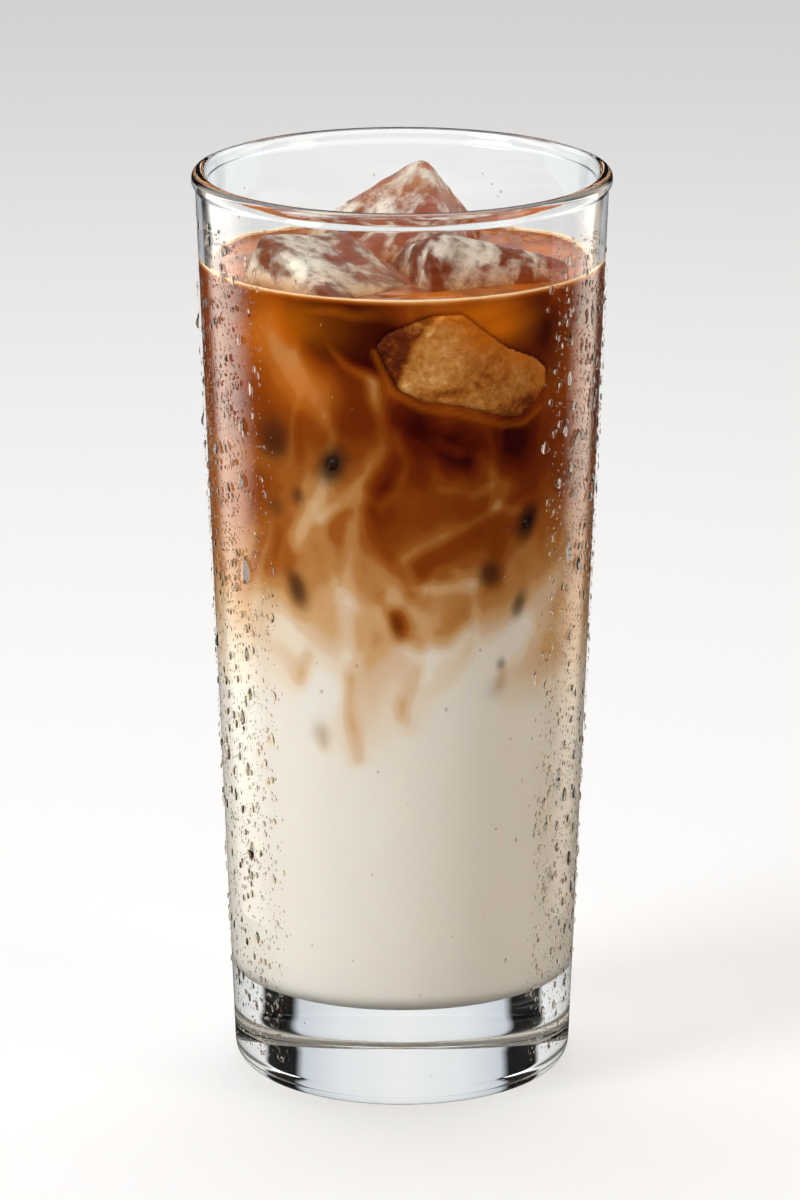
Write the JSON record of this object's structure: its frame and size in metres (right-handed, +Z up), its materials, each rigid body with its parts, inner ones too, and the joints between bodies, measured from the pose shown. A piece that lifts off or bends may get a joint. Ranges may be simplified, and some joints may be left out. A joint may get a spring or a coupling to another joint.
{
  "type": "iced latte in a highball glass",
  "caption": "Tall tapered clear highball glass with a thick base and rolled rim, filled with milk, marbled milk coffee and dark coffee, with ice cubes floating at the top.",
  "frame": {"origin": "centre of the foot of the glass, on the surface it stands on", "axes": "+Z up along the glass's axis, -Y towards the front, +X to the right as seen from the front"},
  "size_m": [0.072, 0.072, 0.16],
  "materials": {
    "clear_glass": "clear, pressed and fire polished, with cold condensation",
    "cold_milk": "opaque white milk behind glass",
    "milk_coffee": "marbled milk and coffee behind glass",
    "brewed_coffee": "dark coffee with an amber glow where thin",
    "clear_ice": "wet, half clear, with clouds and cracks"
  },
  "bodies": {
    "root": {"glass": "clear_glass", "milk": "cold_milk", "marbled_milk": "milk_coffee", "coffee": "brewed_coffee", "ice_left": "clear_ice", "ice_right": "clear_ice", "ice_back": "clear_ice"}
  },
  "joints": []
}
